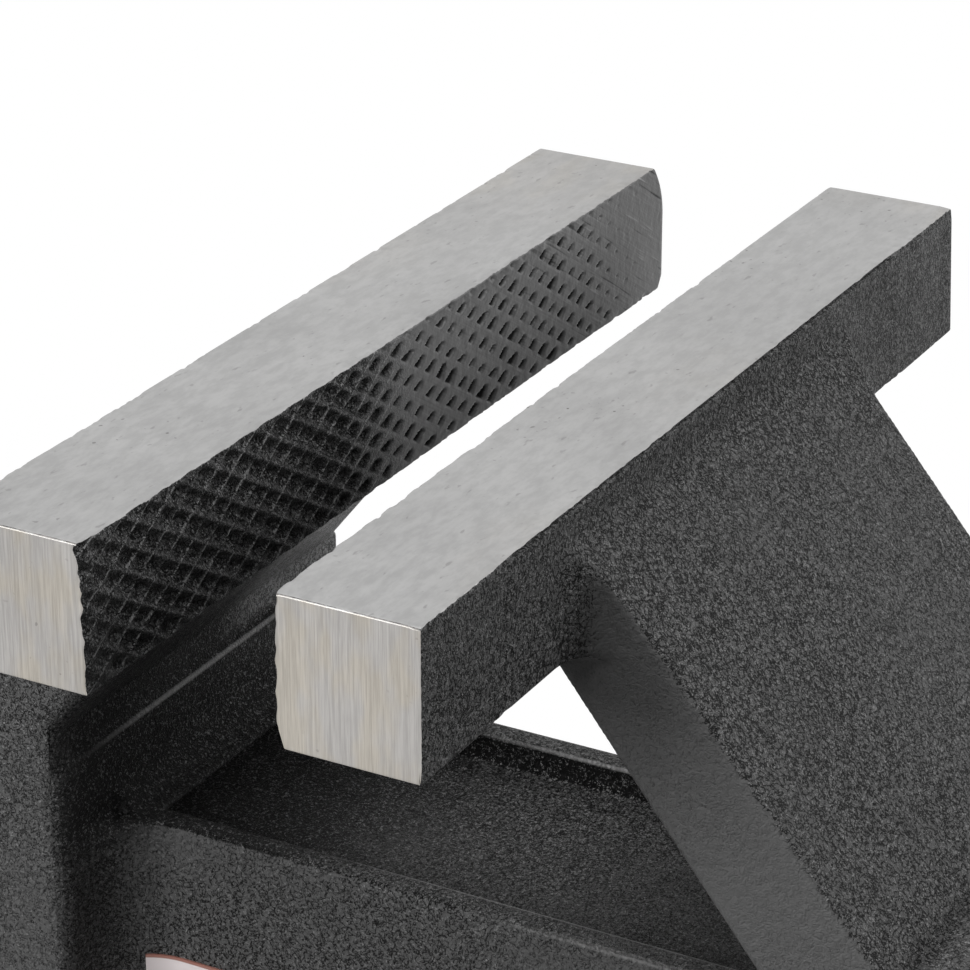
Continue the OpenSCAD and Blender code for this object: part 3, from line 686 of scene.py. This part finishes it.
def cast_skin(node, sizes):
    """A node's shape as a sand-cast skin with softened edges."""
    mesh = with_modifiers(
        welded_copy(node),
        ("REMESH", {"mode": "VOXEL", "voxel_size": sizes.voxel}),
        ("SMOOTH", {"factor": 0.5, "iterations": sizes.passes}),
        ("DECIMATE", {"ratio": 0.4}),
    )
    smooth_shading(mesh, CAST_ANGLE)
    return mesh


def over_neck(along, bar):
    """1 over a neck, where the casting's skin runs on as the bar's back and underside, and 0 beyond it."""
    beyond = share(np.abs(along), bar.neck_reach, bar.neck_reach + 10 * MM)
    return 1 - beyond * beyond * (3 - 2 * beyond)


def sink_under_bar(mesh, grip, side, bar):
    """Draws a casting's skin in under the bar's top, ends and gripping face; side is as for a bar."""
    points = points_of(mesh)
    along, depth, height = points[:, 0], side * (grip - points[:, 1]), points[:, 2] - JAW_TOP + bar.height
    margin = 0.3 * MM
    inside = (np.abs(along) < JAW_HALF + margin) & (depth > -margin) & (depth < bar.depth + margin)
    inside &= (height > -margin) & (height < bar.height + margin)
    neck = over_neck(along, bar)
    under = bar.lap * (1 - neck)
    depth = np.clip(depth, grip_depth(bar) + bar.lap, bar.depth - under + margin * neck)
    height = np.clip(height, under - margin * neck, bar.height - bar.lap)
    along = np.clip(along, bar.end_lap - JAW_HALF, JAW_HALF - bar.end_lap)
    sunk = np.stack((along, grip - side * depth, height + JAW_TOP - bar.height), axis=-1)
    points[inside] = sunk[inside]
    set_points(mesh, points)


def bar_section(bar):
    """Closed loop round a bar's section: depth behind the gripping face, height, and the way outward."""
    across_steps, down_steps = 13, 14
    radius = bar.edge_round
    clear = 1.2 * radius
    step = half_pit(bar)[1] / PIT_STEPS
    rows = np.arange(math.ceil(clear / step) * step, bar.height - clear, step)
    rows = np.concatenate(([radius], rows, [bar.height - radius]))
    across = np.concatenate(([radius, 0.9 * MM], np.linspace(GRIP_RIM, bar.depth - radius, across_steps)))
    down = np.linspace(bar.height - radius, radius, down_steps)
    corner = np.radians([22.5, 45, 67.5])
    sides = (
        (np.zeros_like(rows), rows, math.pi, radius, bar.height - radius),
        (across, np.full_like(across, bar.height), math.pi / 2, bar.depth - radius, bar.height - radius),
        (np.full_like(down, bar.depth), down, 0, bar.depth - radius, radius),
        (across[::-1], np.zeros_like(across), -math.pi / 2, radius, radius),
    )
    loop = []
    for depths, heights, angle, middle_depth, middle_height in sides:
        loop += [(d, h, math.cos(angle), math.sin(angle)) for d, h in zip(depths, heights)]
        for turn in angle - corner:
            out = (math.cos(turn), math.sin(turn))
            loop.append((middle_depth + radius * out[0], middle_height + radius * out[1], *out))
    return np.array(loop)


def bar_stations(bar):
    """Places along a bar where its section is set: close together at the ends, even between them."""
    step = half_pit(bar)[0] / PIT_STEPS
    ends = bar.end_round * np.array([0, 0.25, 0.6])
    between = np.arange(-JAW_HALF + 2 * step, JAW_HALF - 1.5 * step, step)
    return np.concatenate((ends - JAW_HALF, between, (JAW_HALF - ends)[::-1]))


def half_pit(bar):
    """Half a pit along the jaw and up it, so that whole halves fill the face."""
    columns = round(2 * 2 * JAW_HALF / bar.pit_width)
    rows = round(2 * bar.height / bar.pit_height)
    return 2 * JAW_HALF / columns, bar.height / rows


def grip_depth(bar):
    """How deep the serrations go behind the gripping face where they are deepest."""
    return FAR_GAIN * bar.pit_depth


def slope_to(value, peak):
    """Straight up from 0 to 1 at a peak and straight down to 0 again, for a value from 0 to 1."""
    return np.where(value < peak, value / peak, (1 - value) / (1 - peak))


def serration_depth(along, up, bar, patchy):
    """Depth of the serration's pits: whole at the near end, ground to slanted drops toward the far one."""
    drop_point, drop_spread, drop_peak = 0.08, 0.36, 0.7
    ground_off, patch_wear, row_wear, row_turn = 0.36, 0.25, 0.08, 2.1
    half_width, half_height = half_pit(bar)
    columns, rows = (along + JAW_HALF) / half_width, up / half_height
    rising, falling = np.mod(columns + rows, 2) / 2, np.mod(columns - rows, 2) / 2
    whole = np.minimum(slope_to(rising, 0.5), slope_to(falling, 0.5))
    width = drop_point + drop_spread * falling
    drop = np.minimum(1 - np.abs(rising - 0.5) / width, slope_to(falling, drop_peak))
    toward_far = share(along, 18 * MM, -2 * MM)
    faded = share(along, -46 * MM, -82 * MM)
    uneven = patch_wear * patchy + row_wear * np.sin(row_turn * np.floor((columns - rows) / 2))
    flat = toward_far * (ground_off + uneven) + faded
    near_wear = np.maximum(share(along, JAW_HALF, JAW_HALF - 9 * MM), 0.15)
    gain = NEAR_GAIN + (FAR_GAIN - NEAR_GAIN) * toward_far
    pits = whole + toward_far * (drop - whole)
    return bar.pit_depth * near_wear * gain * np.clip(pits - flat, 0, 1)


def broken_end(along, heights, grid, bar, side):
    """Depth of the ragged wear down the near end of a gripping face, most at the moving bar's top."""
    at_foot = 0.25
    deepest = 1.2 * MM if side > 0 else 0.5 * MM
    reach = share(along, JAW_HALF - 6 * MM, JAW_HALF)
    swells, nicks = noise_over(grid, 4.0, 17), noise_over(grid, 1.3, 17)
    waves = np.clip(0.55 + 0.5 * swells + 0.5 * nicks, 0, 1.2)
    return deepest * reach**2 * waves * (at_foot + (1 - at_foot) * heights / bar.height)


def grip_relief(along, depths, heights, grid, bar, side):
    """Depth of a gripping face's serrations, with their crumbling and the breaks at the near end."""
    on_face = 1 - share(depths, 0, GRIP_RIM)
    from_border = np.minimum(heights, bar.height - heights)
    open_border = 0.12 * np.clip(along / (60 * MM), 0.1, 1)
    within = np.clip(open_border + from_border / (1.5 * MM), 0, 1)
    crumbs, jitter, patchy = noise_over(grid, 0.9, 7), noise_over(grid, 4.0, 7), noise_over(grid, 6, 11)
    pits = serration_depth(along + 0.5 * MM * jitter, heights + 0.3 * MM * jitter, bar, patchy)
    pits = pits * on_face * within
    pits = np.maximum(pits + 0.15 * MM * crumbs * share(pits, 0, MM), 0)
    return pits + broken_end(along, heights, grid, bar, side) * on_face


def edge_wear(along, depths, heights, grid, bar, side):
    """How far a bar's skin is drawn in: the rounding of its ends and the nicks along its edges."""
    nick_reach, fine_nicks, unhurt, deepest = 0.7 * MM, 0.7, 0.1, 1.2
    from_end = np.clip(JAW_HALF - np.abs(along), 0, bar.end_round)
    rounding = bar.end_round - np.sqrt(bar.end_round**2 - (bar.end_round - from_end) ** 2)
    from_border = np.minimum(heights, bar.height - heights)
    from_face = np.minimum(depths, bar.depth - depths)
    at_edge = np.exp(-(from_border**2 + from_face**2) / nick_reach**2)
    nicks = noise_over(grid, 3.1, 3 + side) + fine_nicks * noise_over(grid, 1.1, 5 + side) - unhurt
    return rounding + bar.chip * np.clip(nicks, 0, deepest) * at_edge


def bar_mesh(name, bar, grip, side):
    """A jaw bar: side is 1 where its gripping face looks to +Y and -1 where to -Y."""
    depth, height, out_depth, out_height = bar_section(bar).T
    along, depths = np.meshgrid(bar_stations(bar), depth, indexing="ij")
    heights = np.broadcast_to(height, along.shape)
    grid = np.stack((along, side * depths, heights), axis=-1)
    pits = grip_relief(along, depths, heights, grid, bar, side)
    inward = edge_wear(along, depths, heights, grid, bar, side)
    neck = bar.lap * over_neck(along, bar)
    depths = depths - (inward + neck * (out_depth > 0)) * out_depth + pits
    heights = heights - (inward + neck * (out_height < 0)) * out_height

    if side > 0:
        along = cut_far_end(along, heights, bar)
    else:
        depths = cut_low_corner(along, depths, heights)
        along = stretch_far_end(along, heights, bar)
    points = np.stack((along, grip - side * depths, JAW_TOP - bar.height + heights), axis=-1)
    return lofted(name, points, PLATE_ANGLE)


def stretch_far_end(along, heights, bar):
    """The fixed bar's far end runs on a little, most at its foot."""
    at_top, at_foot = 2 * MM, 4.2 * MM
    reach = share(along, 20 * MM - JAW_HALF, -JAW_HALF)
    return along - reach**2 * (at_foot + (at_top - at_foot) * heights / bar.height)


def cut_far_end(along, heights, bar):
    """The moving bar's far end leans in and is rounded off toward its top."""
    top_cut, low_cut = 3.2 * MM, 1.3 * MM
    top = share(heights, bar.height - 8 * MM, bar.height)
    low = share(heights, 2 * MM, 0)
    reach = share(along, 12 * MM - JAW_HALF, -JAW_HALF)
    return along + reach**2 * (top_cut * top**2 + low_cut * low)


def cut_low_corner(along, depths, heights):
    """The fixed bar's near end is chamfered at the low corner of its gripping face."""
    chamfer = 1.2 * MM
    reach = share(along, JAW_HALF - 8 * MM, JAW_HALF)
    return np.maximum(depths, chamfer * share(heights, 4 * MM, 0) * reach)


def lofted(name, points, sharp):
    """A closed mesh through rings of points, its two ends covered."""
    rings, around = points.shape[:2]
    at = np.arange(rings * around).reshape(rings, around)
    after = np.roll(at, -1, axis=1)
    quads = np.stack((at[:-1], after[:-1], after[1:], at[1:]), axis=-1).reshape(-1, 4)
    faces = quads.tolist() + [at[0].tolist(), at[-1][::-1].tolist()]
    mesh = bpy.data.meshes.new(name)
    mesh.from_pydata(points.reshape(-1, 3).tolist(), [], faces)
    with edited(mesh) as work:
        bmesh.ops.recalc_face_normals(work, faces=work.faces)
    smooth_shading(mesh, sharp)
    for cover in mesh.polygons[-2:]:
        cover.use_smooth = False
    return mesh


def dressed(node, width):
    """A machined node with small bevels on its edges."""
    flat, sharp = math.radians(1), math.radians(MACHINED_ANGLE)
    mesh = welded_copy(node)
    with edited(mesh) as work:
        bmesh.ops.dissolve_limit(work, angle_limit=flat, verts=work.verts, edges=work.edges)
    bevel = {"width": width, "segments": 2, "limit_method": "ANGLE", "angle_limit": sharp}
    mesh = with_modifiers(mesh, ("BEVEL", bevel))
    smooth_shading(mesh, MACHINED_ANGLE)
    return mesh


def thread_mesh(screw, end, axis_height):
    """The screw's thread: a helical groove round a core, cut square at both ends."""
    around, before = 28, 1.5
    profile = ((0.0, screw.major), (0.3, screw.major), (0.5, screw.minor), (0.8, screw.minor))
    turns = math.ceil((end - screw.start) / screw.lead) + 2
    points = []
    for row in range(turns * around + around + 1):
        angle = 2 * math.pi * row / around
        for part, radius in profile:
            y = screw.start + screw.lead * (row / around - before + part)
            points.append((radius * math.cos(angle), y, -radius * math.sin(angle)))
    count = len(profile)
    faces = []
    for row in range(turns * around):
        for i in range(count):
            here = row * count + i
            beside = here + 1 if i + 1 < count else (row + around) * count
            faces.append((here, beside, beside + count, here + count))
    mesh = bpy.data.meshes.new("screw_thread")
    mesh.from_pydata(points, [], faces)
    with edited(mesh) as work:
        cut(work, screw.start, -1)
        cut(work, end, 1)
        bmesh.ops.recalc_face_normals(work, faces=work.faces)
        bmesh.ops.translate(work, verts=work.verts, vec=(0, 0, axis_height))
    smooth_shading(mesh, MACHINED_ANGLE)
    return mesh


def cut(work, y, side):
    """Cuts a mesh square to Y, drops what lies on a side of the cut and covers it."""
    everything = work.verts[:] + work.edges[:] + work.faces[:]
    plane = {"plane_co": (0, y, 0), "plane_no": (0, side, 0), "dist": CUT_NEARNESS}
    result = bmesh.ops.bisect_plane(work, geom=everything, clear_outer=True, **plane)
    rim = [item for item in result["geom_cut"] if isinstance(item, bmesh.types.BMEdge)]
    bmesh.ops.holes_fill(work, edges=rim)
    loose = [v for v in work.verts if not v.link_faces]
    bmesh.ops.delete(work, geom=loose, context="VERTS")


class VISE_OT_castings(bpy.types.Operator):
    """Gives the castings a sand-cast skin and black satin paint"""

    bl_idname = "vise.castings"
    bl_label = "Castings"

    def execute(self, context):
        scene = context.scene
        bar, castings, colours = scene.vise_bars, scene.vise_castings, scene.vise_finishes
        moving_grip = FIXED_GRIP - bar.opening
        head = moving_grip - castings.ledge_back
        faint, strong = 0.25, 0.6
        smooth_sides = paint_finish("smooth_sided_paint", colours, faint)
        pebbled_sides = paint_finish("pebbled_paint", colours, strong, castings, head)
        bars = {"fixed_jaw_body": (FIXED_GRIP, -1), "moving_jaw": (moving_grip, 1)}
        for node in ("swivel_base", *bars, "clamp_lever_left", "clamp_lever_right"):
            mesh = cast_skin(node, castings)
            if node in bars:
                sink_under_bar(mesh, *bars[node], bar)
            paint = pebbled_sides if node == "moving_jaw" else smooth_sides
            replace_node(node, node + "_cast", mesh, paint)
        return {"FINISHED"}


class VISE_OT_jaw_bars(bpy.types.Operator):
    """Builds the two jaw bars with ground tops and serrated gripping faces"""

    bl_idname = "vise.jaw_bars"
    bl_label = "Jaw bars"

    def execute(self, context):
        scene = context.scene
        bar = scene.vise_bars
        moving_grip = FIXED_GRIP - bar.opening
        bars = (("moving_bar", moving_grip, 1, "jaw"), ("fixed_bar", FIXED_GRIP, -1, "body"))
        for name, grip, side, body in bars:
            material = bar_finish(name + "_finish", scene.vise_finishes, bar, grip)
            add_piece(name, bar_mesh(name, bar, grip, side), material, body)
        return {"FINISHED"}


class VISE_OT_lead_screw(bpy.types.Operator):
    """Cuts the thread on the lead screw behind its hub"""

    bl_idname = "vise.lead_screw"
    bl_label = "Lead screw"

    def execute(self, context):
        scene = context.scene
        screw = scene.vise_screw
        bevel, overlap = 0.5 * MM, 0.2 * MM
        low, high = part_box("lead_screw")
        thread = thread_mesh(screw, high.y, (low.z + high.z) / 2)
        steel = turned_finish("screw_steel", scene.vise_finishes.turned, 1)
        add_piece("screw_thread", thread, steel, "screw")
        front = dressed("lead_screw", bevel)
        with edited(front) as work:
            cut(work, screw.start + overlap, 1)
        smooth_shading(front, MACHINED_ANGLE)
        replace_node("lead_screw", "screw_front", front, steel)
        return {"FINISHED"}


class VISE_OT_machined(bpy.types.Operator):
    """Finishes the handle, knobs, washers, bolts, pin, spring and nut"""

    bl_idname = "vise.machined"
    bl_label = "Machined pieces"

    def execute(self, context):
        colours = context.scene.vise_finishes
        steel = turned_finish("handle_steel", colours.turned, 0)
        plated = plated_finish(colours)
        iron = iron_finish(colours)
        groups = (
            (steel, "steel", 0.4, ("handle_bar", "handle_knob_left", "handle_knob_right")),
            (plated, "fastener", 0.25, ("thrust_washer", "spring_washer", "nut_bolt_washer", "cross_pin")),
            (plated, "fastener", 0.4, ("nut_bolt", "clamp_bolt_left", "clamp_bolt_right")),
            (plated, "fastener", 0.25, ("clamp_washer_left", "clamp_washer_right")),
            (iron, "nut_iron", 0.8, ("screw_nut",)),
        )
        for material, slot, bevel, nodes in groups:
            for node in nodes:
                replace_node(node, node + "_dressed", dressed(node, bevel * MM), material)
        coil = with_modifiers(welded_copy("take_up_spring"), ("SUBSURF", {"levels": 1, "render_levels": 1}))
        smooth_shading(coil, CAST_ANGLE)
        replace_node("take_up_spring", "spring_coil", coil, plated)
        return {"FINISHED"}


class VISE_OT_label(bpy.types.Operator):
    """Sticks the bare label on the slide's side"""

    bl_idname = "vise.label"
    bl_label = "Label"

    def execute(self, context):
        label = context.scene.vise_label
        work = bmesh.new()
        bmesh.ops.create_grid(work, x_segments=60, y_segments=12, size=0.5)
        away = 100 * MM
        for point in work.verts:
            along, up = point.co.x + 0.5, point.co.y - 0.5
            point.co = (away, label.front + along * label.length, label.top + up * label.height)
        mesh = bpy.data.meshes.new("label")
        work.to_mesh(mesh)
        work.free()
        ground = {
            "target": bpy.data.objects["moving_jaw_cast"],
            "wrap_method": "PROJECT",
            "use_project_x": True,
            "use_negative_direction": True,
            "use_positive_direction": False,
            "offset": label.thickness,
        }
        plate = {"thickness": 2 * label.thickness, "offset": 0.0}
        mesh = with_modifiers(mesh, ("SHRINKWRAP", ground), ("SOLIDIFY", plate))
        smooth_shading(mesh, PLATE_ANGLE)
        material = label_finish(context.scene.vise_finishes, label)
        add_piece("label", mesh, material, "jaw")
        return {"FINISHED"}


class VISE_OT_stage(bpy.types.Operator):
    """Sets the pale floor, the soft lamps, the white surroundings and the camera"""

    bl_idname = "vise.stage"
    bl_label = "Stage"

    def execute(self, context):
        scene = context.scene
        stage = scene.vise_stage
        add_floor(stage)
        add_world(scene, stage)
        add_lamp("key_lamp", stage.key, width=0.9, place=(0.5, -0.2, 1.45))
        add_lamp("side_lamp", stage.side, width=0.7, place=(1.16, -0.7, 0.68))
        add_lamp("back_lamp", stage.back, width=0.7, place=(-0.72, 0.98, 0.62))
        add_camera(scene)
        scene.view_settings.view_transform = "Standard"
        return {"FINISHED"}


def white_rays(nodes):
    """1 for the rays that see the surroundings: straight, mirrored or through glass."""
    rays = nodes.node("ShaderNodeLightPath").outputs
    return nodes.most(rays["Is Camera Ray"], rays["Is Glossy Ray"], rays["Is Transmission Ray"])


def add_floor(stage):
    """A pale floor that keeps the vise's shadow and is white away from it."""
    reach, height = 6.0, -0.1 * MM
    half_wide, half_long = 0.21, 0.34
    corners = [(x * reach, y * reach, height) for x, y in ((-1, -1), (1, -1), (1, 1), (-1, 1))]
    mesh = bpy.data.meshes.new("floor")
    mesh.from_pydata(corners, [], [(0, 1, 2, 3)])
    floor = bpy.data.objects.new("floor", mesh)
    bpy.context.scene.collection.objects.link(floor)
    look = Look("pale_floor", roughness=0.9, specular=0.1)
    seen = white_rays(look)
    look.use(base_color=look.mix(seen, stage.bounce, stage.floor))
    squares = look.plus(look.square(look.x, half_wide), look.square(look.y, half_long))
    away = look.ramp(squares, 0.75, 1.5)
    white = look.node("ShaderNodeEmission", {"Color": WHITE, "Strength": 1.0})
    look.show("Material Output", look.times(away, seen), look.shader, white)
    mesh.materials.append(look.material)


def add_world(scene, stage):
    """White surroundings for what sees them, and a plain level of light for the rest."""
    world = bpy.data.worlds.new("studio")
    world.use_nodes = True
    scene.world = world
    nodes = Nodes(world.node_tree)
    light = nodes.tree.nodes["Background"]
    nodes.feed(light.inputs["Color"], WHITE)
    nodes.feed(light.inputs["Strength"], stage.ambient)
    white = nodes.node("ShaderNodeBackground", {"Color": WHITE})
    nodes.show("World Output", white_rays(nodes), light, white)


def add_lamp(name, watts, width, place):
    """A soft square lamp that looks at the jaws."""
    lamp = bpy.data.lights.new(name, "AREA")
    lamp.energy = watts
    lamp.size = width
    holder = bpy.data.objects.new(name, lamp)
    holder.location = place
    aim = Vector((0, FIXED_GRIP, JAW_TOP)) - Vector(place)
    holder.rotation_euler = aim.to_track_quat("-Z", "Y").to_euler()
    bpy.context.scene.collection.objects.link(holder)


def add_camera(scene):
    """The photograph's viewpoint: above one end of the jaws, with a long lens."""
    place, way = Vector((0.38171, 0.10711, 0.38160)), Vector((-0.7993, -0.4383, -0.4110))
    camera = bpy.data.cameras.new("camera")
    camera.sensor_width = 36
    camera.lens = 135.44
    camera.clip_end = 50
    holder = bpy.data.objects.new("camera", camera)
    holder.location = place
    holder.rotation_euler = way.to_track_quat("-Z", "Y").to_euler()
    scene.collection.objects.link(holder)
    scene.camera = holder


OPERATORS = (
    VISE_OT_castings,
    VISE_OT_jaw_bars,
    VISE_OT_lead_screw,
    VISE_OT_machined,
    VISE_OT_label,
    VISE_OT_stage,
)


class VISE_PT_looks(bpy.types.Panel):
    """Lists the vise's sizes, colours and steps"""

    bl_idname = "VISE_PT_looks"
    bl_label = "Bench vise"
    bl_space_type = "VIEW_3D"
    bl_region_type = "UI"
    bl_category = "Vise"

    def draw(self, context):
        for name in SETTINGS:
            group = getattr(context.scene, name)
            box = self.layout.box()
            for field in group.__annotations__:
                box.prop(group, field)
        for operator in OPERATORS:
            self.layout.operator(operator.bl_idname)


SETTINGS = {
    "vise_bars": BarSizes,
    "vise_castings": CastingSizes,
    "vise_screw": ScrewSizes,
    "vise_label": LabelSizes,
    "vise_finishes": Finishes,
    "vise_stage": StageSettings,
}


def register():
    for group in SETTINGS.values():
        bpy.utils.register_class(group)
    for name, group in SETTINGS.items():
        setattr(bpy.types.Scene, name, PointerProperty(type=group))
    for operator in OPERATORS:
        bpy.utils.register_class(operator)
    bpy.utils.register_class(VISE_PT_looks)


def unregister():
    bpy.utils.unregister_class(VISE_PT_looks)
    for operator in reversed(OPERATORS):
        bpy.utils.unregister_class(operator)
    for name in SETTINGS:
        delattr(bpy.types.Scene, name)
    for group in reversed(SETTINGS.values()):
        bpy.utils.unregister_class(group)


def main():
    register()
    bpy.ops.vise.castings()
    bpy.ops.vise.jaw_bars()
    bpy.ops.vise.lead_screw()
    bpy.ops.vise.machined()
    bpy.ops.vise.label()
    bpy.ops.vise.stage()


if __name__ == "__main__":
    main()
